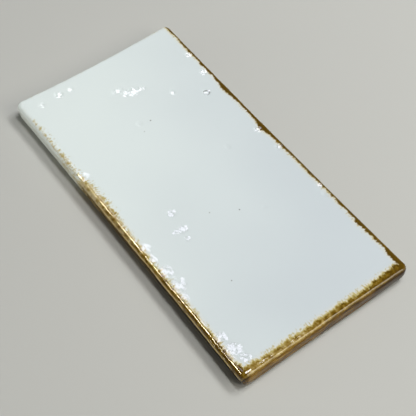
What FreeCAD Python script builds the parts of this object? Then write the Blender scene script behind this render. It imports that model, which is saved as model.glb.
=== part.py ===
"""Glazed ceramic wall tile of the running-bond kind, lying on its back. Millimetres, +Z out of the glazed face.

One pressed and fired piece, with its long side along X. The origin is the middle of the back, on the plane that
the tile beds on. Each side draws in between its corners by its own amount, as clay does in drying. It stands almost
upright under the face and sets back at its foot. The face rolls over to the sides, and the back has keying grooves
inside a plain border.
"""

import os

import FreeCAD
import Part

FACE_LENGTH = 149.2  # along X between the corners, 5 7/8 in
FACE_WIDTH = 73.0  # along Y between the corners, 2 7/8 in
THICKNESS = 7.5  # back plane to glazed face

CORNER_RADIUS = 2.4  # corners of the outline, seen from above

FRONT_DRAW_IN = 0.4  # how far the middle of the side at -Y lies inside its corners
REAR_DRAW_IN = 0.6  # the same at +Y
LEFT_DRAW_IN = 1.1  # at -X
RIGHT_DRAW_IN = 0.2  # at +X

SIDE_LEAN = 0.2  # the sides lean in this much between the face and the foot
FOOT_HEIGHT = 3.0  # lower part of the sides, which sets back to keep the joint open behind the face
FOOT_SET_BACK = 0.8  # how far the foot sets back by the time it meets the back

RIM_RADIUS = 1.8  # roll of the face over to the sides
FOOT_RADIUS = 0.6  # foot to back

GROOVE_DEPTH = 0.8
GROOVE_WIDTH = 5.0  # at the back plane
GROOVE_DRAFT = 0.4  # each wall leans in this much by the floor, so that the die lifts out
GROOVE_PITCH = 10.0
BORDER_WIDTH = 7.0  # plain margin of the back, at least this wide all round


def vector(x, y, z):
    return FreeCAD.Vector(x, y, z)


def outline(inset, z):
    """The outline at height z. Each one is a true offset of the same four arcs, so the sides stay smooth."""
    half_x = FACE_LENGTH / 2 - CORNER_RADIUS
    half_y = FACE_WIDTH / 2 - CORNER_RADIUS
    corners = [(half_x, -half_y), (half_x, half_y), (-half_x, half_y), (-half_x, -half_y)]
    right = (half_x - RIGHT_DRAW_IN, 0)
    rear = (0, half_y - REAR_DRAW_IN)
    left = (LEFT_DRAW_IN - half_x, 0)
    front = (0, FRONT_DRAW_IN - half_y)
    arcs = []
    for i, middle in enumerate([right, rear, left, front]):
        start, end = corners[i], corners[(i + 1) % len(corners)]
        arc = Part.Arc(vector(*start, z), vector(*middle, z), vector(*end, z))
        arcs.append(arc.toShape())
    return Part.Wire(arcs).makeOffset2D(CORNER_RADIUS - inset)


def edges_at(solid, z):
    """The edges that lie in the plane at height z."""
    tolerance = 1e-4
    edges = []
    for edge in solid.Edges:
        box = edge.BoundBox
        if abs(box.ZMin - z) < tolerance and abs(box.ZMax - z) < tolerance:
            edges.append(edge)
    return edges


def back_inset():
    """How much smaller than the face the back is, all round."""
    return SIDE_LEAN + FOOT_SET_BACK


def slab():
    """The tile before its back is keyed."""
    sections = [outline(back_inset(), 0), outline(SIDE_LEAN, FOOT_HEIGHT), outline(0, THICKNESS)]
    solid = Part.makeLoft(sections, True, True)
    solid = solid.makeFillet(RIM_RADIUS, edges_at(solid, THICKNESS))
    return solid.makeFillet(FOOT_RADIUS, edges_at(solid, 0))


def round_ended(length, width, z):
    """A closed outline along X with half-round ends, centred at height z."""
    radius = width / 2
    end = length / 2
    straight = end - radius
    front_left, front_right = vector(-straight, -radius, z), vector(straight, -radius, z)
    rear_left, rear_right = vector(-straight, radius, z), vector(straight, radius, z)
    return Part.Wire([
        Part.LineSegment(front_left, front_right).toShape(),
        Part.Arc(front_right, vector(end, 0, z), rear_right).toShape(),
        Part.LineSegment(rear_right, rear_left).toShape(),
        Part.Arc(rear_left, vector(-end, 0, z), front_left).toShape(),
    ])


def keying_groove():
    """One groove, wider at its mouth in the back plane than at its floor."""
    length = FACE_LENGTH - 2 * (max(LEFT_DRAW_IN, RIGHT_DRAW_IN) + back_inset() + BORDER_WIDTH)
    mouth = round_ended(length, GROOVE_WIDTH, 0)
    floor = round_ended(length - 2 * GROOVE_DRAFT, GROOVE_WIDTH - 2 * GROOVE_DRAFT, GROOVE_DEPTH)
    return Part.makeLoft([mouth, floor], True, True)


def groove_places():
    """Y of each groove: as many pairs, either side of a land down the middle, as the border leaves room for."""
    draw_in = max(FRONT_DRAW_IN, REAR_DRAW_IN)
    outermost = FACE_WIDTH / 2 - draw_in - back_inset() - BORDER_WIDTH - GROOVE_WIDTH / 2
    pairs = int(outermost / GROOVE_PITCH + 0.5)
    places = []
    for i in range(pairs):
        y = (i + 0.5) * GROOVE_PITCH
        places += [-y, y]
    return sorted(places)


def tile():
    solid = slab()
    for y in groove_places():
        groove = keying_groove()
        groove.translate(vector(0, y, 0))
        solid = solid.cut(groove)
    return solid.Solids[0]


def main():
    os.makedirs("parts", exist_ok=True)
    solid = tile()
    box = solid.BoundBox
    print("solids", len(solid.Solids), "faces", len(solid.Faces), "valid", solid.isValid())
    print("size in mm", round(box.XLength, 3), round(box.YLength, 3), round(box.ZLength, 3))
    print("volume in cm3", round(solid.Volume / 1000, 3), "grooves", len(groove_places()))
    solid.exportStep("parts/glazed_tile.step")


main()
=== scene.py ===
import math

import bmesh
import bpy
from mathutils import Matrix, Vector


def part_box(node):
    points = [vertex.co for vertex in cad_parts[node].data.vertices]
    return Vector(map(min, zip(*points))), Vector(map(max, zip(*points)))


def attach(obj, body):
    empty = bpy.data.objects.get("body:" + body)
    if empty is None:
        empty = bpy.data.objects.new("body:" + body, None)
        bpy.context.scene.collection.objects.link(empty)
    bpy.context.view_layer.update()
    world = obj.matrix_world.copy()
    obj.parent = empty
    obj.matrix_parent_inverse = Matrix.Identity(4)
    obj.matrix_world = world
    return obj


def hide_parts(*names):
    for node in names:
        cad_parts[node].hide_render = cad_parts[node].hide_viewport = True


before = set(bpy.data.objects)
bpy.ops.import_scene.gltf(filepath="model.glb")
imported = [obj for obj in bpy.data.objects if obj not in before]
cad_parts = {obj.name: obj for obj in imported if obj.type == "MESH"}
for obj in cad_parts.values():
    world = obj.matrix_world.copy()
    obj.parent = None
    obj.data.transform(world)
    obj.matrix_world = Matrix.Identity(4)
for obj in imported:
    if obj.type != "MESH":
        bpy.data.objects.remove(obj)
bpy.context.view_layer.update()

mm = 0.001
low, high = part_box("glazed_tile")


# An sRGB hex colour as the linear numbers that the shaders take.
def toLinear(hexColour):
    channels = [int(hexColour[i:i + 2], 16) / 255 for i in (1, 3, 5)]
    linear = [c / 12.92 if c <= 0.04045 else ((c + 0.055) / 1.055) ** 2.4 for c in channels]
    return (*linear, 1.0)


# Adds a node with its settings, a colour ramp's stops and what goes into its sockets, in their order or by name: a
# value, or another node's output. Gives back the output that is asked for.
def addNode(tree, kind, inputs=(), output=0, stops=(), **settings):
    node = tree.nodes.new("ShaderNode" + kind)
    for name, value in settings.items():
        setattr(node, name, value)
    for i, (position, colour) in enumerate(stops):
        elements = node.color_ramp.elements
        element = elements[i] if i < len(elements) else elements.new(position)
        element.position, element.color = position, toLinear(colour)
    for socket, value in inputs.items() if isinstance(inputs, dict) else enumerate(inputs):
        if isinstance(value, bpy.types.NodeSocket):
            tree.links.new(value, node.inputs[socket])
        else:
            node.inputs[socket].default_value = value
    return node.outputs[output]


def selectOnly(piece):
    bpy.ops.object.select_all(action="DESELECT")
    piece.select_set(True)
    bpy.context.view_layer.objects.active = piece


def openForEditing(piece):
    selectOnly(piece)
    bpy.ops.object.mode_set(mode="EDIT")
    bpy.ops.mesh.select_all(action="DESELECT")


def closeEditing():
    bpy.ops.object.mode_set(mode="OBJECT")


# Selects the faces, edges or vertices of the piece in edit mode that pass a test of their place or normal.
def pick(piece, kind, test):
    bpy.ops.mesh.select_all(action="DESELECT")
    bpy.ops.mesh.select_mode(type=kind)
    mesh = bmesh.from_edit_mesh(piece.data)
    for element in {"VERT": mesh.verts, "EDGE": mesh.edges, "FACE": mesh.faces}[kind]:
        if test(element):
            element.select_set(True)
    mesh.select_flush_mode()
    bmesh.update_edit_mesh(piece.data)


def edgeMiddle(edge):
    return (edge.verts[0].co + edge.verts[1].co) / 2


def applyModifier(piece, kind, **settings):
    modifier = piece.modifiers.new(kind.title(), kind)
    for name, value in settings.items():
        setattr(modifier, name, value)
    selectOnly(piece)
    bpy.ops.object.modifier_apply(modifier=modifier.name)


tile = dict(
    cornerRadius=2.4 * mm,      # seen from above
    rimRoll=1.8 * mm,           # face over to the sides
    footRound=0.6 * mm,
    sideLean=0.2 * mm,          # the sides lean in this much down to the foot
    footHeight=3.0 * mm,        # and set back below it
    footSetBack=0.8 * mm,
    drawIn=dict(front=0.4 * mm, rear=0.6 * mm, left=1.1 * mm, right=0.2 * mm),
    groovePairs=3,              # keying grooves in the back, either side of its middle
    groovePitch=10.0 * mm,
    grooveWidth=5.0 * mm,
    grooveDraft=0.4 * mm,
    grooveDepth=0.8 * mm,
    grooveReach=65.5 * mm,      # half a groove's length
    grooveCrease=0.75,          # how firm the grooves' edges stay when the mesh is smoothed, from 0 to 1
    cell=5.04 * mm,             # spacing of the first cuts along the tile
    wallCuts=(1.6 * mm, 3.7 * mm, 4.6 * mm),
    rimCut=2.6 * mm,            # how far in from each side the first cut lies
)


def modelBody():
    length, width, height = high - low
    bpy.ops.object.select_all(action="DESELECT")
    bpy.ops.mesh.primitive_cube_add(size=1, location=(low + high) / 2, scale=(length, width, height))
    body = bpy.context.object
    body.name = "glazedTile"
    bpy.ops.object.transform_apply(location=True, rotation=True, scale=True)
    openForEditing(body)

    # the sides stand almost upright, and set back below the foot's height
    def narrow(before, after):
        shrink = [(size - 2 * after) / (size - 2 * before) for size in (length, width)]
        bpy.ops.transform.resize(value=(*shrink, 1))
    backInset = tile["sideLean"] + tile["footSetBack"]
    pick(body, "FACE", lambda face: face.normal.z < -0.9)
    narrow(0, backInset)
    bpy.ops.mesh.select_all(action="SELECT")
    bpy.ops.mesh.bisect(plane_co=(0, 0, tile["footHeight"]), plane_no=(0, 0, 1))
    pick(body, "EDGE", lambda edge: all(abs(v.co.z - tile["footHeight"]) < 0.01 * mm for v in edge.verts))
    narrow(backInset * (1 - tile["footHeight"] / height), tile["sideLean"])

    # corners rounded as seen from above, along the upright edges
    pick(body, "EDGE", lambda edge: abs(edge.verts[0].co.z - edge.verts[1].co.z) > 1 * mm)
    bpy.ops.mesh.bevel(offset=tile["cornerRadius"], offset_type="OFFSET", segments=3, profile=0.5)

    # cuts across and along: those along fall on the grooves' edges, and one by each side keeps its roll tight
    reach = tile["grooveReach"]
    pairs = tile["groovePairs"]
    columns = round(2 * reach / tile["cell"])
    acrossPlaces = [-reach + i * 2 * reach / columns for i in range(columns + 1)]
    acrossPlaces += [tile["rimCut"] - length / 2, length / 2 - tile["rimCut"]]
    alongPlaces = [(i + 0.5) * tile["grooveWidth"] for i in range(-2 * pairs - 1, 2 * pairs + 1)]
    alongPlaces += [tile["rimCut"] - width / 2, width / 2 - tile["rimCut"]]
    for x in acrossPlaces:
        bpy.ops.mesh.select_all(action="SELECT")
        bpy.ops.mesh.bisect(plane_co=(x, 0, 0), plane_no=(1, 0, 0))
    for y in alongPlaces:
        bpy.ops.mesh.select_all(action="SELECT")
        bpy.ops.mesh.bisect(plane_co=(0, y, 0), plane_no=(0, 1, 0))

    # and level cuts round the side walls, where the glaze ends
    for z in tile["wallCuts"]:
        bpy.ops.mesh.select_all(action="SELECT")
        bpy.ops.mesh.bisect(plane_co=(0, 0, z), plane_no=(0, 0, 1))

    # keying grooves in the back: every other strip, pushed in with leaning walls
    def inGroove(face):
        centre = face.calc_center_median()
        fromPair = abs(abs(centre.y) % tile["groovePitch"] - tile["groovePitch"] / 2)
        return (face.normal.z < -0.9 and fromPair < tile["grooveWidth"] / 2 and abs(centre.x) < reach
                and abs(centre.y) < pairs * tile["groovePitch"])
    pick(body, "FACE", inGroove)
    bpy.ops.mesh.inset(thickness=tile["grooveDraft"], depth=-tile["grooveDepth"], use_even_offset=True)

    # creases keep the grooves' edges firm
    def grooveEdge(edge):
        slopes = sorted(abs(face.normal.z) for face in edge.link_faces)
        middle = edgeMiddle(edge)
        return (middle.z < 1 * mm and slopes[0] < 0.8 and slopes[-1] > 0.99 and abs(middle.x) < reach + 1 * mm
                and abs(middle.y) < pairs * tile["groovePitch"])
    pick(body, "EDGE", grooveEdge)
    bpy.ops.transform.edge_crease(value=tile["grooveCrease"])

    # the face's roll and the foot's round
    def outlineAt(z):
        return lambda edge: (all(abs(v.co.z - z) < 0.01 * mm for v in edge.verts)
                             and min(abs(face.normal.z) for face in edge.link_faces) < 0.5
                             and (abs(edgeMiddle(edge).x) > length / 2 - 4 * mm
                                  or abs(edgeMiddle(edge).y) > width / 2 - 4 * mm))
    pick(body, "EDGE", outlineAt(height))
    bpy.ops.mesh.bevel(offset=tile["rimRoll"], offset_type="OFFSET", segments=3, profile=0.5)
    pick(body, "EDGE", outlineAt(0))
    bpy.ops.mesh.bevel(offset=tile["footRound"], offset_type="OFFSET", segments=2, profile=0.5)
    closeEditing()
    return body


# Each side is drawn in along a shallow arc. The lattice leaves the middle of the tile where it is.
def drawInSides(body):
    bpy.ops.object.select_all(action="DESELECT")
    bpy.ops.object.add(type="LATTICE", location=(low + high) / 2)
    cage = bpy.context.object
    cage.scale = (high - low) * 1.02        # a little larger than the tile, so that it holds all of it
    cage.data.points_u, cage.data.points_v, cage.data.points_w = 9, 9, 2
    cage.data.interpolation_type_u = cage.data.interpolation_type_v = "KEY_CATMULL_ROM"
    amount = tile["drawIn"]
    for point in cage.data.points:
        u, v = 2 * point.co.x, 2 * point.co.y
        alongX = (1 - v * v) * (amount["left"] * max(-u, 0) ** 3 - amount["right"] * max(u, 0) ** 3)
        alongY = (1 - u * u) * (amount["front"] * max(-v, 0) ** 3 - amount["rear"] * max(v, 0) ** 3)
        point.co_deform = Vector(point.co) + Vector((alongX / cage.scale.x, alongY / cage.scale.y, 0))
    applyModifier(body, "LATTICE", object=cage)
    bpy.data.objects.remove(cage)


# How far a place lies in from each side, in metres, seen from above.
def fromSides(place):
    u, v = place.x / high.x, place.y / high.y
    amount = tile["drawIn"]
    return dict(
        front=place.y - low.y - amount["front"] * (1 - u * u),
        rear=high.y - place.y - amount["rear"] * (1 - u * u),
        left=place.x - low.x - amount["left"] * (1 - v * v),
        right=high.x - place.x - amount["right"] * (1 - v * v),
    )


# A smooth step, from 0 at the start to 1 at the end.
def ease(value, start, end):
    t = min(max((value - start) / (end - start), 0), 1)
    return t * t * (3 - 2 * t)


# Where the glaze runs thin, side by side. Each list goes along the side from its -X or -Y end to its other end, as
# (share of the way, value). Reach is how many millimetres the brown comes in, below zero where the glaze stays white.
# Ragged is how far its edge wanders. Wall is how much thicker the glaze lies on the side wall than over the rim, foot
# how high above the back it ends there, and swell how far it fills out the set-back foot, from 0 to 1. Arris
# highlight is how pale a line the turn of the rim shows, from 0 to 1: pale thin glaze there, with a painted highlight
# along the turn; and turn where the line lies, in millimetres from the middle of the roll. Deep is how dark the brown
# is, about 0.
breaks = dict(
    front=dict(reach=[(0, -1.5), (0.05, -0.5), (0.1, 0.7), (0.2, 0.6), (0.28, 0.8), (0.36, 2.2), (0.45, 2.6),
                      (0.5, 2.1), (0.6, 1.8), (0.75, 2.0), (0.93, 2.2), (1, 3.2)],
               ragged=[(0, 8), (0.12, 11), (0.3, 12), (0.42, 11), (0.5, 6), (1, 5)],
               wall=[(0, 3.5), (0.12, 2.8), (0.27, 1.6), (0.36, 0.5), (0.44, 0), (1, 0)],
               foot=[(0, 0.2), (0.27, 0.3), (0.36, 0.7), (0.44, 1.1), (0.6, 1.3), (0.75, 1.8), (1, 2.4)],
               swell=[(0, 1), (0.25, 1), (0.36, 0.8), (0.8, 0.7), (1, 0.5)],
               arrisHighlight=[(0, 0), (0.36, 0), (0.46, 1.0), (0.96, 0.9), (1, 0.2)], turn=[(0, -2.0), (1, -2.0)],
               deep=[(0, -1.8), (0.34, -1.8), (0.5, -0.4), (0.62, 0.1), (0.8, 1.1), (1, 1.6)]),
    right=dict(reach=[(0, 3.4), (0.1, 3.2), (0.25, 2.9), (0.5, 2.8), (0.8, 3.1), (0.93, 3.4), (1, 4.0)],
               ragged=[(0, 7), (1, 7)],
               wall=[(0, 0), (1, 0)],
               foot=[(0, 0.9), (0.5, 0.5), (0.8, 0.6), (0.93, 1.2), (1, 2.4)],
               swell=[(0, 0.4), (0.12, 0.9), (0.7, 0.9), (0.95, 0.2), (1, 0)],
               arrisHighlight=[(0, 0), (0.06, 0.25), (0.5, 0.2), (1, 0.1)], turn=[(0, 0), (1, 0)],
               deep=[(0, 1.8), (0.07, -0.4), (0.35, -0.4), (0.5, 0.4), (0.75, 0.9), (1, 1.8)]),
    rear=dict(reach=[(0, 1.7), (0.24, 1.6), (0.3, 2.4), (0.35, 1.7), (0.42, 1.8), (0.465, 2.9), (0.51, 1.8),
                     (0.78, 1.6), (0.85, 2.3), (0.91, 1.9), (1, 2.9)],
              ragged=[(0, 4), (1, 5)],
              wall=[(0, 0.5), (0.2, 0), (1, 0)],
              foot=[(0, 1.5), (0.3, 2.4), (0.7, 2.0), (1, 3.6)],
              arrisHighlight=[(0, 0.1), (1, 0.1)], turn=[(0, 0), (1, 0)],
              deep=[(0, 1.8), (0.3, 2.3), (0.6, 2.0), (1, 2.3)]),
    left=dict(reach=[(0, -0.6), (0.3, -0.5), (0.7, -0.6), (0.92, 0.1), (1, 1.2)],
              ragged=[(0, 7), (1, 7)],
              wall=[(0, 1), (1, 1)],
              foot=[(0, 0.3), (0.5, 0.9), (0.8, 0.6), (1, 1.5)],
              arrisHighlight=[(0, 0), (1, 0.3)], turn=[(0, 0), (1, 0)],
              deep=[(0, 0.2), (1, 0.4)]),
)


# The value at a share of the way along a side.
def along(stops, share):
    for (start, first), (end, second) in zip(stops, stops[1:]):
        if share <= end:
            return first + (second - first) * ease(share, start, end)
    return stops[-1][1]


# What the glaze does at a place: how many millimetres the place lies inside the break, how ragged the break's edge is
# and dark its brown are there, whether it runs across the tile's end, how high the glaze ends, how pale the line on
# the rim is, and how far in from the side and off that line the place lies.
def glazeAt(place):
    shareX = (place.x - low.x) / (high.x - low.x)
    shareY = (place.y - low.y) / (high.y - low.y)
    onWall = 1 - ease(place.z, 6.5 * mm, 7.3 * mm)      # 0 on the face, 1 from the lower half of the roll down
    best = None
    nearest = None
    for side, distance in fromSides(place).items():
        share = shareX if side in ("front", "rear") else shareY
        stops = breaks[side]
        thin = along(stops["reach"], share) - max(distance / mm, 0) - onWall * along(stops["wall"], share)
        if best is None or thin > best["thin"]:
            best = dict(thin=thin, ragged=along(stops["ragged"], share), deep=along(stops["deep"], share),
                        endways=float(side in ("left", "right")))
        if nearest is None or distance / mm < nearest["inward"]:
            nearest = dict(inward=distance / mm, foot=along(stops["foot"], share), arrisHighlight=along(stops["arrisHighlight"], share),
                           turn=(distance - high.z + place.z) / mm - along(stops["turn"], share))
    return {**best, **nearest}


# The surface of the glaze. A wave's size is the width of a lump, and its height how far the surface moves: inwards
# only, or about its middle.
relief = dict(
    glazeThickness=0.30 * mm,       # the bare clay below the glaze line lies this much further in
    swelling=0.95 * mm,             # thick glaze fills out the foot of two sides, at most this much
    finerAtRim=6.5 * mm,            # the mesh is finer within this much of a side, and by the hollows and flakes
    waves=dict(
        slump=dict(size=19 * mm, height=0.14 * mm, direction="Z"),
        ripple=dict(size=5.5 * mm, height=0.03 * mm, direction="Z"),
        rim=dict(size=7 * mm, height=0.26 * mm, direction="NORMAL", middle=0.5),
        rimFine=dict(size=2.2 * mm, height=0.045 * mm, direction="NORMAL", middle=0.5),
        flakes=dict(size=2.4 * mm, height=0.18 * mm, direction="Z", flat=True),
        crinkle=dict(size=2.2 * mm, height=0.14 * mm, direction="Z", flat=True),
    ),
)

# Hollows in the glaze, in millimetres: x, y, radius, depth. Light catches on their slopes.
hollows = [
    (-52.1, 1.4, 1.9, 0.10), (-51.2, 3.8, 2.2, 0.12), (-50.6, 6.2, 1.9, 0.10), (-50.2, 8.2, 1.3, 0.06),
    (-55.1, 0.4, 1.6, 0.08), (-55.4, -1.8, 1.3, 0.05), (-72.6, -20.0, 1.0, 0.04), (-67.3, -20.3, 2.1, 0.10),
    (-67.2, -15.0, 1.3, 0.06), (-66.7, -28.5, 1.4, 0.06), (-41.3, 16.4, 1.2, 0.05), (-33.2, 27.2, 1.7, 0.20),
    (6.4, -17.0, 2.0, 0.12), (14.6, -17.8, 2.0, 0.09), (14.0, -20.4, 1.2, 0.05), (18.8, -18.8, 1.3, 0.05),
    (24.2, 11.7, 1.1, 0.05), (-35.9, -2.9, 1.5, 0.03), (-6.2, 17.5, 1.4, 0.04), (-54.3, 33.4, 1.5, 0.06),
    (-42.8, 32.6, 1.6, 0.08), (-6.0, 31.7, 1.6, 0.09), (5.6, 32.9, 1.8, 0.09), (28.6, 33.6, 1.6, 0.08),
    (32.8, 33.3, 1.8, 0.10),
]

# Flakes of the glaze by the front rim, listed the same way.
flakes = [
    (-26.2, -34.4, 2.8, 0.11), (12.9, -34.4, 3.2, 0.12), (18.5, -34.8, 2.6, 0.08), (25.4, -34.0, 4.2, 0.15),
    (32.6, -33.4, 4.6, 0.17), (38.0, -34.6, 2.6, 0.08), (57.2, -34.0, 3.8, 0.14), (63.6, -33.2, 5.0, 0.18),
    (68.5, -31.5, 3.2, 0.10),
]

# Patches where the glaze has set in small flat scales that lean one way, so that they catch one lamp together: x, y
# and radius in millimetres, and the lean in x and y.
scales = [
    (-52.0, 1.6, 2.0, -0.09, 0.10), (-51.0, 4.4, 2.6, -0.09, 0.10), (-50.4, 7.4, 1.8, -0.09, 0.10),
    (-55.2, -0.6, 1.6, -0.09, 0.10), (-67.3, -20.3, 2.0, -0.05, 0.16), (-67.0, -15.4, 1.3, -0.05, 0.16),
    (-66.7, -28.5, 1.3, -0.05, 0.16), (-54.3, 33.4, 1.5, -0.105, 0.03), (-42.8, 32.6, 1.8, -0.125, 0.027),
    (6.4, -17.2, 1.7, 0.01, -0.133), (14.6, -17.8, 2.0, 0.0, -0.13), (14.0, -20.6, 1.4, 0.0, -0.13),
    (18.8, -18.8, 1.3, 0.0, -0.13),
    (-26.2, -34.6, 1.6, 0.05, -0.10), (13.0, -34.0, 1.8, 0.0, -0.105), (18.5, -34.4, 1.5, 0.0, -0.105),
    (25.4, -33.2, 2.8, 0.0, -0.105), (32.8, -32.7, 3.2, 0.0, -0.105), (37.5, -33.4, 1.8, 0.0, -0.105),
    (57.2, -33.2, 2.4, -0.04, -0.105), (63.6, -32.6, 3.4, -0.06, -0.105), (68.0, -30.8, 2.0, -0.06, -0.105),
    (-33.4, 27.2, 1.0, -0.137, 0.035), (-41.3, 16.4, 1.2, -0.117, 0.064), (-6.0, 32.0, 1.6, -0.187, 0.007),
    (5.6, 33.2, 1.5, -0.207, -0.002), (28.6, 33.9, 1.3, -0.25, -0.017),
]


# A vertex group, in which each point's weight comes from its place.
def weighByPlace(body, name, weightOf):
    group = body.vertex_groups.new(name=name)
    for vertex in body.data.vertices:
        weight = weightOf(vertex.co)
        if weight > 0.001:
            group.add([vertex.index], weight, "REPLACE")


# Where the mesh has to be finer: over the rim and at the hollows and flakes, and finer again at these.
def atMarks(face):
    centre = face.calc_center_median()
    return centre.z > 6.8 * mm and any(math.hypot(centre.x - x * mm, centre.y - y * mm) < 1.25 * radius * mm
                                       for x, y, radius, depth in hollows + flakes)


def atRimOrMarks(face):
    centre = face.calc_center_median()
    fromRim = min(fromSides(centre).values())
    return centre.z > 5.4 * mm and (fromRim < relief["finerAtRim"] or atMarks(face))


# How near a place is to the middle of a hollow or flake, from 0 to 1.
def nearTo(marks, place):
    if place.z < 6.6 * mm:
        return 0
    return max(1 - ease(math.hypot(place.x - x * mm, place.y - y * mm), 0.4 * radius * mm, 1.2 * radius * mm)
               for x, y, radius, depth in marks)


def unevenGlaze(body):
    def upTheSide(place):
        return ease(place.z, 0.5 * mm, 4 * mm)

    def atRim(place):
        return ease(place.z, 0.6 * mm, 2.5 * mm) * (1 - ease(min(fromSides(place).values()), 1.2 * mm, 4.5 * mm))

    def onSideWall(distance):
        return 1 - ease(distance, 1.2 * mm, 2.6 * mm)

    # the step where the glaze ends above bare clay
    def belowGlaze(place):
        foot = glazeAt(place)["foot"] * mm
        nearest = min(fromSides(place).values())
        return onSideWall(nearest) * (1 - ease(place.z, foot - 0.35 * mm, foot + 0.3 * mm))
    weighByPlace(body, "bare", belowGlaze)
    applyModifier(body, "DISPLACE", direction="NORMAL", mid_level=0, strength=-relief["glazeThickness"],
                  vertex_group="bare")

    # thick glaze fills out the set-back foot, and a little of the lean above it
    for side, direction, outwards in (("front", "Y", -1), ("right", "X", 1)):
        axis = "YX".index(direction)            # the side runs along the other one

        def swollen(place):
            setBack = max(1 - place.z / tile["footHeight"], 0.15 * (1 - place.z / high.z))
            share = (place[axis] - low[axis]) / (high[axis] - low[axis])
            return (ease(place.z, 0.5 * mm, 1.5 * mm) * setBack * along(breaks[side]["swell"], share)
                    * onSideWall(fromSides(place)[side]))
        weighByPlace(body, side, swollen)
        applyModifier(body, "DISPLACE", direction=direction, mid_level=0, strength=outwards * relief["swelling"],
                      vertex_group=side)

    # waves, each where it belongs
    weighByPlace(body, "slump", upTheSide)
    weighByPlace(body, "ripple", upTheSide)
    weighByPlace(body, "rim", atRim)
    weighByPlace(body, "rimFine", atRim)
    weighByPlace(body, "flakes", lambda place: nearTo(flakes, place))
    weighByPlace(body, "crinkle", lambda place: nearTo(hollows, place))
    for name, wave in relief["waves"].items():
        texture = bpy.data.textures.new(name, "VORONOI" if wave.get("flat") else "CLOUDS")
        texture.noise_scale = wave["size"]
        if wave.get("flat"):
            texture.distance_metric = "CHEBYCHEV"       # flat-sided pits, with sharp edges between them
        else:
            texture.noise_depth = 1
        applyModifier(body, "DISPLACE", texture=texture, texture_coords="LOCAL", direction=wave["direction"],
                      mid_level=wave.get("middle", 1), strength=wave["height"], vertex_group=name)

    # hollows and flakes, pressed in with soft edges from the few points at their middle
    openForEditing(body)
    for x, y, radius, depth in hollows + flakes:
        centre = Vector((x * mm, y * mm, 7.4 * mm))
        pick(body, "VERT", lambda vertex: (vertex.co - centre).length < 0.5 * mm)
        bpy.ops.transform.translate(value=(0, 0, -depth * mm), use_proportional_edit=True,
                                    proportional_edit_falloff="SMOOTH", proportional_size=radius * mm)
    closeEditing()
    body.vertex_groups.clear()


# Smoothing and the uneven glaze take a few tenths of a millimetre off; the tile is brought back to its box.
def fitToBox(body):
    places = [vertex.co for vertex in body.data.vertices]
    ends = [(min(p[i] for p in places), max(p[i] for p in places)) for i in range(3)]
    openForEditing(body)
    bpy.ops.mesh.select_all(action="SELECT")
    scale = [(high[i] - low[i]) / (ends[i][1] - ends[i][0]) for i in range(3)]
    bpy.ops.transform.resize(value=scale, center_override=(0, 0, 0))
    shift = [(low[i] + high[i]) / 2 - scale[i] * (ends[i][0] + ends[i][1]) / 2 for i in range(3)]
    bpy.ops.transform.translate(value=shift)
    closeEditing()


# What the material reads at each point of the mesh: the state of the glaze, and how near and which way the nearest
# scales lean.
glazeStates = ("thin", "ragged", "deep", "endways", "foot", "inward", "arrisHighlight", "turn")


def rememberGlaze(body):
    attributes = body.data.attributes
    states = [glazeAt(vertex.co) for vertex in body.data.vertices]
    for name in glazeStates:
        attributes.new(name, "FLOAT", "POINT").data.foreach_set("value", [state[name] for state in states])
    leans = []
    scaly = []
    for vertex in body.data.vertices:
        x, y, z = vertex.co / mm
        nearness, leanX, leanY = max((1 - math.hypot(x - patchX, y - patchY) / radius, leanX, leanY)
                                     for patchX, patchY, radius, leanX, leanY in scales)
        scaly.append(max(nearness, -1) if z > 6.9 else -1)
        leans.extend(Vector((leanX, leanY, 1)).normalized())
    attributes.new("scaly", "FLOAT", "POINT").data.foreach_set("value", scaly)
    attributes.new("lean", "FLOAT_VECTOR", "POINT").data.foreach_set("vector", leans)


# White tin glaze over a brown-firing clay, dipped and fired to a gloss. Thick on the face it is opaque and a cool
# white. It draws off the rims in firing, and turns cream and then clear there, so the clay shows honey brown. The
# back and foot were wiped before firing and are bare matt clay. Sizes are in millimetres.
glaze = dict(
    white=("#E7F1F0", "#CBD4D9"),          # by the -X front corner, and by the one across from it, darker there as painted fall-off of the light
    cream="#E2DBC0",
    tan="#B9AA68",
    honey=[(0.30, "#574008"), (0.42, "#755A10"), (0.53, "#8D7434"), (0.62, "#A58E50"), (0.74, "#C6B78A")],
    # streaked brown of the front and rear walls, darkened as painted shade on them; the two ends take the lighter
    # ramp below
    wall=[(0.30, "#171003"), (0.42, "#2B1E08"), (0.53, "#453210"), (0.63, "#604A20"), (0.76, "#826C40")],
    endWall=[(0.30, "#3A2603"), (0.42, "#5E4206"), (0.53, "#7A580C"), (0.63, "#94701A"), (0.76, "#AC8A3C")],
    # pale thin glaze with a painted highlight along the turn of the rim
    arrisHighlight="#D8C17C",
    clay=[(0.35, "#4A3B2B"), (0.5, "#5E4C38"), (0.65, "#74614A")],
    # painted shade on the bare clay at the foot of the walls
    paintedFootShade="#1E1811",
    grog="#2E241A",
    speck="#4B4539",
    thins=(-2.2, 0.6),                      # where each colour comes in, inside the break or, below zero, ahead of it
    creams=(-0.8, 0.0),
    tans=(-0.35, 0.35),
    browns=(0.1, 0.9),
    flecked=(-3.4, -1.2),
    gloss=0.07,
    clayRoughness=0.86,
    ior=1.52,
    pinholes=[(-34.6, 1.4, 0.32), (-31.4, -3.6, 0.20), (14.4, -5.9, 0.22), (19.8, 3.6, 0.30), (42.1, -16.6, 0.25)],
    bubble=(-33.2, 27.2, 1.25),             # x, y and the radius of a burst bubble's dark ring
)

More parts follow.
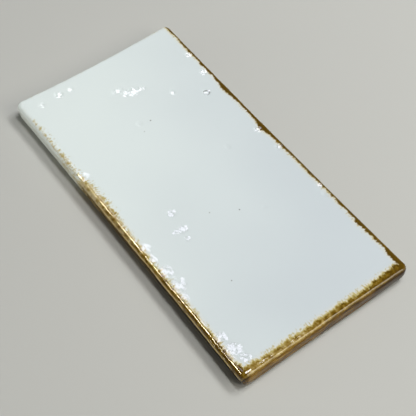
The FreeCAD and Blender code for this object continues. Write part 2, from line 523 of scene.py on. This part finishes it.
# The patterns of the glaze and the clay. Size is the width of a lump in millimetres. Streaked ones are drawn out from
# the nearest side inwards, and shift sets the patterns apart from each other.
patterns = dict(
    teeth=dict(size=0.9, detail=3, roughness=0.62, streaked=True),
    lobes=dict(size=3.4, detail=2, streaked=True),
    hairs=dict(size=0.5, detail=1, streaked=True),
    toneDriftAndPaintedFalloff=dict(size=38, detail=1, roughness=0.4),
    honey=dict(size=1.6, detail=3, roughness=0.6, shift=7),
    wall=dict(size=1.5, detail=3, roughness=0.6, shift=13, stretch=(0.22, 0.22, 1)),
    arrisHighlight=dict(size=2.8, detail=2, shift=19),
    glazeLine=dict(size=2.4, detail=2, shift=43, stretch=(1, 1, 0.2)),
    clay=dict(size=3.2, detail=4, roughness=0.6, shift=3),
    grog=dict(size=0.7, detail=1, roughness=0.4, shift=57),
    ring=dict(size=1.2, detail=1, shift=5),
    grain=dict(size=0.6, detail=3, roughness=0.7, shift=23),
    ripple=dict(size=2.6, detail=1, roughness=0.4, shift=29),
    scales=dict(size=1.0, detail=4, roughness=0.75, shift=37),
)
smoothStep = dict(interpolation_type="SMOOTHSTEP")
mixColour = dict(data_type="RGBA", output=2)
mixVector = dict(data_type="VECTOR", output=1)


def makeGlaze():
    material = bpy.data.materials.new("whiteGlazeOnBrownClay")
    material.use_nodes = True
    tree = material.node_tree
    kept = {name: addNode(tree, "Attribute", output="Fac", attribute_name=name) for name in (*glazeStates, "scaly")}
    coordinates = addNode(tree, "TexCoord", output="Object")
    place = addNode(tree, "VectorMath", {0: coordinates, "Scale": 1 / mm}, operation="SCALE")
    height = addNode(tree, "SeparateXYZ", [place], output="Z")
    drawnOut = addNode(tree, "Mix", {"Factor": kept["endways"], 4: (1, 0.4, 1), 5: (0.4, 1, 1)}, **mixVector)
    streaked = addNode(tree, "VectorMath", [place, drawnOut], operation="MULTIPLY")
    noise = {}
    for name, pattern in patterns.items():
        where = addNode(tree, "Mapping", {"Vector": streaked if pattern.get("streaked") else place,
                                          "Location": (pattern.get("shift", 0),) * 3,
                                          "Scale": pattern.get("stretch", (1, 1, 1))})
        noise[name] = addNode(tree, "TexNoise", {"Vector": where, "Scale": 1 / pattern["size"],
                                                 "Detail": pattern["detail"],
                                                 "Roughness": pattern.get("roughness", 0.5)})

    # how far inside the break a place is, with teeth and lobes along its edge
    teeth = addNode(tree, "Math", [noise["teeth"], 0.5], operation="MULTIPLY")
    wander = addNode(tree, "Math", [noise["lobes"], 0.5, teeth], operation="MULTIPLY_ADD")
    wander = addNode(tree, "Math", [wander, 0.5], operation="SUBTRACT")
    inside = addNode(tree, "Math", [wander, kept["ragged"], kept["thin"]], operation="MULTIPLY_ADD")

    # white that darkens from one corner to the one across from it, a painted fall-off of the light with a random
    # drift in tone over it, and the cream that comes before the break; each layer is how much of a colour lies over
    # what came before it
    toneDriftAndPaintedFalloff = addNode(tree, "VectorMath", [place, (0.0040, 0.0062, 0)], output="Value", operation="DOT_PRODUCT")
    toneDriftAndPaintedFalloff = addNode(tree, "Math", [noise["toneDriftAndPaintedFalloff"], 0.3, toneDriftAndPaintedFalloff], operation="MULTIPLY_ADD")
    toneDriftAndPaintedFalloff = addNode(tree, "MapRange", [toneDriftAndPaintedFalloff, -0.35, 0.65], **smoothStep)
    thinning = addNode(tree, "MapRange", [kept["thin"], *glaze["thins"], 0, 0.30], **smoothStep)
    creamy = addNode(tree, "MapRange", [inside, *glaze["creams"], 0, 0.75], **smoothStep)
    colour = toLinear(glaze["white"][0])
    layers = [(toneDriftAndPaintedFalloff, toLinear(glaze["white"][1])), (thinning, toLinear(glaze["cream"])),
              (creamy, toLinear(glaze["cream"]))]

    # stray flecks and hairs of clay showing through ahead of the break
    hairs = addNode(tree, "Math", [noise["hairs"], 0.5], operation="SUBTRACT")
    stray = addNode(tree, "Math", [kept["ragged"], 1.5], operation="MULTIPLY")
    hairs = addNode(tree, "Math", [hairs, stray, kept["thin"]], operation="MULTIPLY_ADD")
    hairs = addNode(tree, "MapRange", [hairs, 0.0, 0.7, 0, 0.8], **smoothStep)
    ahead = addNode(tree, "MapRange", [kept["thin"], *glaze["flecked"]], **smoothStep)
    flecks = addNode(tree, "Math", [hairs, ahead], operation="MULTIPLY")
    tanned = addNode(tree, "MapRange", [inside, *glaze["tans"]], **smoothStep)
    layers += [(flecks, toLinear(glaze["tan"])), (tanned, toLinear(glaze["tan"]))]

    # the break itself: honey on the face, streaked on the side walls, where the front and rear walls' brown carries
    # painted shade; where the brown is darkest it starts at once
    darker = addNode(tree, "Math", [kept["deep"], 0.13], operation="MULTIPLY")
    honey = addNode(tree, "Math", [noise["honey"], darker], operation="SUBTRACT")
    honey = addNode(tree, "ValToRGB", [honey], stops=glaze["honey"])
    streaks = addNode(tree, "Math", [noise["wall"], darker], operation="SUBTRACT")
    wall = addNode(tree, "ValToRGB", [streaks], stops=glaze["wall"])
    endWall = addNode(tree, "ValToRGB", [streaks], stops=glaze["endWall"])
    wall = addNode(tree, "Mix", {"Factor": kept["endways"], 6: wall, 7: endWall}, **mixColour)
    overRim = addNode(tree, "MapRange", [kept["turn"], -0.3, -1.0], **smoothStep)
    brown = addNode(tree, "Mix", {"Factor": overRim, 6: honey, 7: wall}, **mixColour)
    sudden = addNode(tree, "Math", [kept["deep"], 1.2], operation="SUBTRACT")
    sudden = addNode(tree, "Math", [sudden, 0.0], operation="MAXIMUM")
    browned = addNode(tree, "Math", [sudden, 0.6, inside], operation="MULTIPLY_ADD")
    browned = addNode(tree, "MapRange", [browned, *glaze["browns"]], **smoothStep)
    layers.append((browned, brown))

    # the turn of the rim, where the thin glaze shows the clay palest and a painted highlight runs along it, with gaps
    line = addNode(tree, "Math", [kept["turn"]], operation="ABSOLUTE")
    line = addNode(tree, "MapRange", [line, 0.65, 0.35], **smoothStep)
    pastBreak = addNode(tree, "MapRange", [inside, -0.2, 0.4], **smoothStep)
    gaps = addNode(tree, "MapRange", [noise["arrisHighlight"], 0.30, 0.50], **smoothStep)
    for factor in (pastBreak, gaps, kept["arrisHighlight"]):
        line = addNode(tree, "Math", [line, factor], operation="MULTIPLY")
    layers.append((line, toLinear(glaze["arrisHighlight"])))

    # a bead of glaze along its wavering lower edge
    waver = addNode(tree, "Math", [noise["glazeLine"], 0.5], operation="SUBTRACT")
    glazeLine = addNode(tree, "Math", [waver, 1.3, kept["foot"]], operation="MULTIPLY_ADD")
    above = addNode(tree, "Math", [height, glazeLine], operation="SUBTRACT")
    bead = addNode(tree, "MapRange", [above, 0.0, 0.15, 0, 0.6], **smoothStep)
    for value, start, end in ((above, 0.75, 0.3), (inside, -0.5, 0.5)):
        factor = addNode(tree, "MapRange", [value, start, end], **smoothStep)
        bead = addNode(tree, "Math", [bead, factor], operation="MULTIPLY")
    layers.append((bead, toLinear(glaze["tan"])))

    # bare clay below that and over the whole back, with coarse dark grog, and darker up the foot as painted shade
    underneath = addNode(tree, "MapRange", [kept["inward"], 1.3, 1.8], **smoothStep)
    lowDown = addNode(tree, "MapRange", [height, 3.0, 2.0], **smoothStep)
    underneath = addNode(tree, "Math", [underneath, lowDown], operation="MULTIPLY")
    bare = addNode(tree, "MapRange", [above, 0.08, -0.08], **smoothStep)
    bare = addNode(tree, "Math", [bare, underneath], operation="MAXIMUM")
    clay = addNode(tree, "ValToRGB", [noise["clay"]], stops=glaze["clay"])
    grog = addNode(tree, "MapRange", [noise["grog"], 0.66, 0.72], **smoothStep)
    clay = addNode(tree, "Mix", {"Factor": grog, 6: clay, 7: toLinear(glaze["grog"])}, **mixColour)
    # painted shade: the bare clay darkens towards the sides, where the foot stands in shadow
    paintedFootShade = addNode(tree, "MapRange", [kept["inward"], 1.9, 1.2, 0, 0.88], **smoothStep)
    clay = addNode(tree, "Mix", {"Factor": paintedFootShade, 6: clay, 7: toLinear(glaze["paintedFootShade"])}, **mixColour)
    layers.append((bare, clay))

    # pinholes, and the ring of a burst bubble
    flat = addNode(tree, "VectorMath", [place, (1, 1, 0)], operation="MULTIPLY")
    marks = 0.0
    for x, y, radius in glaze["pinholes"]:
        distance = addNode(tree, "VectorMath", [flat, (x, y, 0)], output="Value", operation="DISTANCE")
        hole = addNode(tree, "MapRange", [distance, radius, 0.5 * radius], **smoothStep)
        marks = addNode(tree, "Math", [marks, hole], operation="MAXIMUM")
    x, y, radius = glaze["bubble"]
    distance = addNode(tree, "VectorMath", [flat, (x, y, 0)], output="Value", operation="DISTANCE")
    distance = addNode(tree, "Math", [distance, radius], operation="SUBTRACT")
    distance = addNode(tree, "Math", [distance], operation="ABSOLUTE")
    ring = addNode(tree, "MapRange", [distance, 0.22, 0.05, 0, 0.75], **smoothStep)
    gaps = addNode(tree, "MapRange", [noise["ring"], 0.42, 0.55], **smoothStep)
    ring = addNode(tree, "Math", [ring, gaps], operation="MULTIPLY")
    marks = addNode(tree, "Math", [marks, ring], operation="MAXIMUM")
    onFace = addNode(tree, "MapRange", [height, 6.5, 7.0], **smoothStep)
    marks = addNode(tree, "Math", [marks, onFace], operation="MULTIPLY")
    layers.append((marks, toLinear(glaze["speck"])))

    # gloss, which is weaker on clay and down the walls of the two ends
    rough = addNode(tree, "MapRange", [bare, 0, 1, glaze["gloss"], glaze["clayRoughness"]])
    dull = addNode(tree, "MapRange", [kept["turn"], -0.5, -1.5, 0, 0.9], **smoothStep)
    dull = addNode(tree, "Math", [dull, kept["endways"]], operation="MULTIPLY")
    dull = addNode(tree, "Math", [dull, bare], operation="MAXIMUM")
    sheen = addNode(tree, "Math", [dull, -0.42, 0.5], operation="MULTIPLY_ADD")

    # fine relief: grainy clay, and a faint ripple in the glaze's own skin
    grain = addNode(tree, "Math", [bare, 0.10], operation="MULTIPLY")
    grain = addNode(tree, "Math", [noise["grain"], grain], operation="MULTIPLY")
    skin = addNode(tree, "Math", [noise["ripple"], 0.012, grain], operation="MULTIPLY_ADD")
    skin = addNode(tree, "Math", [bare, -0.15, skin], operation="MULTIPLY_ADD")
    bump = addNode(tree, "Bump", {"Height": skin, "Distance": mm, "Strength": 1.0})

    # the leaning scales, with dark rims round them, partly cracks in the glaze and partly painted shade at their
    # edges
    spread = addNode(tree, "Math", [noise["scales"], 0.5], operation="SUBTRACT")
    spread = addNode(tree, "Math", [spread, 5.5, kept["scaly"]], operation="MULTIPLY_ADD")
    near = addNode(tree, "MapRange", [kept["scaly"], -0.1, 0.1], **smoothStep)
    scale = addNode(tree, "MapRange", [spread, 0.42, 0.48], **smoothStep)
    scale = addNode(tree, "Math", [scale, near], operation="MULTIPLY")
    lean = addNode(tree, "Attribute", output="Vector", attribute_name="lean")
    normal = addNode(tree, "Mix", {"Factor": scale, 4: bump, 5: lean}, **mixVector)
    crackAndEdgeShade = addNode(tree, "MapRange", [spread, 0.22, 0.38, 0, 0.35], **smoothStep)
    outside = addNode(tree, "MapRange", [spread, 0.52, 0.44], **smoothStep)
    for factor in (outside, near):
        crackAndEdgeShade = addNode(tree, "Math", [crackAndEdgeShade, factor], operation="MULTIPLY")
    layers.append((crackAndEdgeShade, toLinear(glaze["speck"])))

    for share, over in layers:
        colour = addNode(tree, "Mix", {"Factor": share, 6: colour, 7: over}, **mixColour)
    shader = tree.nodes["Principled BSDF"]
    shader.inputs["IOR"].default_value = glaze["ior"]
    for socket, value in (("Base Color", colour), ("Roughness", rough), ("Specular IOR Level", sheen),
                          ("Normal", normal)):
        tree.links.new(value, shader.inputs[socket])
    return material


body = modelBody()
drawInSides(body)
applyModifier(body, "SUBSURF", levels=2, render_levels=2)
openForEditing(body)
for finer in (atRimOrMarks, atMarks):
    pick(body, "FACE", finer)
    bpy.ops.mesh.subdivide(number_cuts=1)
closeEditing()
unevenGlaze(body)
fitToBox(body)
bpy.ops.object.shade_smooth()
print("body", sum(len(p.vertices) - 2 for p in body.data.polygons), "triangles")

rememberGlaze(body)
body.data.materials.append(makeGlaze())
print("glaze and clay")

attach(body, "root")
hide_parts("glazed_tile")


studio = dict(
    floorColour="#BFC0BC",
    floorSize=6.0,              # metres
    gap=0.05 * mm,              # between the floor and the tile's back
    roughness=0.9,
    sheen=0.2,
)


# Painted board: pale, even and matt, so it takes a soft shadow and mirrors nothing.
def makeFloor():
    bpy.ops.object.select_all(action="DESELECT")
    bpy.ops.mesh.primitive_plane_add(size=studio["floorSize"], location=(0, 0, -studio["gap"]))
    floor = bpy.context.object
    floor.name = "studioFloor"
    paint = bpy.data.materials.new("paleMattBoard")
    paint.use_nodes = True
    shader = paint.node_tree.nodes["Principled BSDF"]
    shader.inputs["Base Color"].default_value = toLinear(studio["floorColour"])
    shader.inputs["Roughness"].default_value = studio["roughness"]
    shader.inputs["Specular IOR Level"].default_value = studio["sheen"]
    floor.data.materials.append(paint)


view = dict(
    azimuth=55.945,             # degrees round from the tile's long front side
    elevation=54.802,
    roll=-2.306,
    target=(8.04 * mm, -2.20 * mm, 0),
    distance=372.75 * mm,
    sensor=36,                  # millimetres
    lens=1001.04 / 416 * 36,    # millimetres: the focal length in pixels, brought to the sensor
)


def makeCamera():
    azimuth, elevation, roll = (math.radians(view[name]) for name in ("azimuth", "elevation", "roll"))
    back = Vector((math.sin(azimuth) * math.cos(elevation), -math.cos(azimuth) * math.cos(elevation),
                   math.sin(elevation)))
    right = Vector((math.cos(azimuth), math.sin(azimuth), 0))
    up = back.cross(right)
    rolledRight = math.cos(roll) * right + math.sin(roll) * up
    rolledUp = math.cos(roll) * up - math.sin(roll) * right
    data = bpy.data.cameras.new("camera")
    data.sensor_width = view["sensor"]
    data.lens = view["lens"]
    data.clip_start, data.clip_end = 0.01, 20
    camera = bpy.data.objects.new("camera", data)
    camera.matrix_world = Matrix.Translation(Vector(view["target"]) + back * view["distance"]) @ Matrix(
        (rolledRight, rolledUp, back)).transposed().to_4x4()
    bpy.context.scene.collection.objects.link(camera)
    bpy.context.scene.camera = camera


# Each lamp: the way to it from the tile, how far, its two sides in metres, which way the first of them runs, the
# brightness of its surface and its colour. One without gloss lights only the matt of things, and one without matt
# shows only in their gloss.
lamps = dict(
    key=dict(towards=(0.12, 0.57, 0.81), distance=1.1, size=(0.60, 0.22), runs="X", brightness=15.5,
             colour="#FFFFFF", gloss=False),
    overhead=dict(towards=(0.08, 0.20, 0.97), distance=1.1, size=(0.42, 0.14), runs="X", brightness=22.0,
                  colour="#FFFFFF"),
    side=dict(towards=(0.74, 0.34, 0.58), distance=1.1, size=(0.60, 0.52), runs="Y", brightness=4.3,
              colour="#FFF9EE"),
    card=dict(towards=(-0.50, -0.85, 0.05), distance=1.1, size=(1.0, 0.09), runs="X", brightness=17.0,
              colour="#FFF8EA", gloss=False),
    window=dict(towards=(-0.45, 0.045, 0.89), distance=1.1, size=(0.36, 0.13), runs="X", brightness=7.0,
                colour="#F0EAFF", matt=False),
    strip=dict(towards=(-0.362, -0.425, 0.835), distance=1.1, size=(0.425, 0.10), runs="X", brightness=80.0,
               colour="#FFF0CC", matt=False),
    pane=dict(towards=(-0.73, 0.43, 0.53), distance=1.1, size=(0.11, 0.13), runs="Y", brightness=7.0,
              colour="#FAF8FF", matt=False),
)
surround = dict(colour="#EEF2F4", strength=0.07)


def makeLight():
    for name, lamp in lamps.items():
        data = bpy.data.lights.new(name, "AREA")
        data.shape = "RECTANGLE"
        data.size, data.size_y = lamp["size"]
        data.energy = lamp["brightness"] * math.pi * data.size * data.size_y
        data.color = toLinear(lamp["colour"])[:3]
        light = bpy.data.objects.new(name, data)
        facing = Vector(lamp["towards"]).normalized()
        upward = facing.cross(Vector({"X": (1, 0, 0), "Y": (0, 1, 0)}[lamp["runs"]])).normalized()
        axes = Matrix((upward.cross(facing), upward, facing)).transposed()
        light.matrix_world = Matrix.Translation(facing * lamp["distance"]) @ axes.to_4x4()
        light.visible_diffuse = lamp.get("matt", True)
        light.visible_glossy = lamp.get("gloss", True)
        bpy.context.scene.collection.objects.link(light)
    world = bpy.data.worlds.new("softRoom")
    world.use_nodes = True
    background = world.node_tree.nodes["Background"]
    background.inputs["Color"].default_value = toLinear(surround["colour"])
    background.inputs["Strength"].default_value = surround["strength"]
    bpy.context.scene.world = world


makeFloor()
makeCamera()
makeLight()
bpy.context.scene.view_settings.view_transform = "Standard"

print("floor, camera and light")
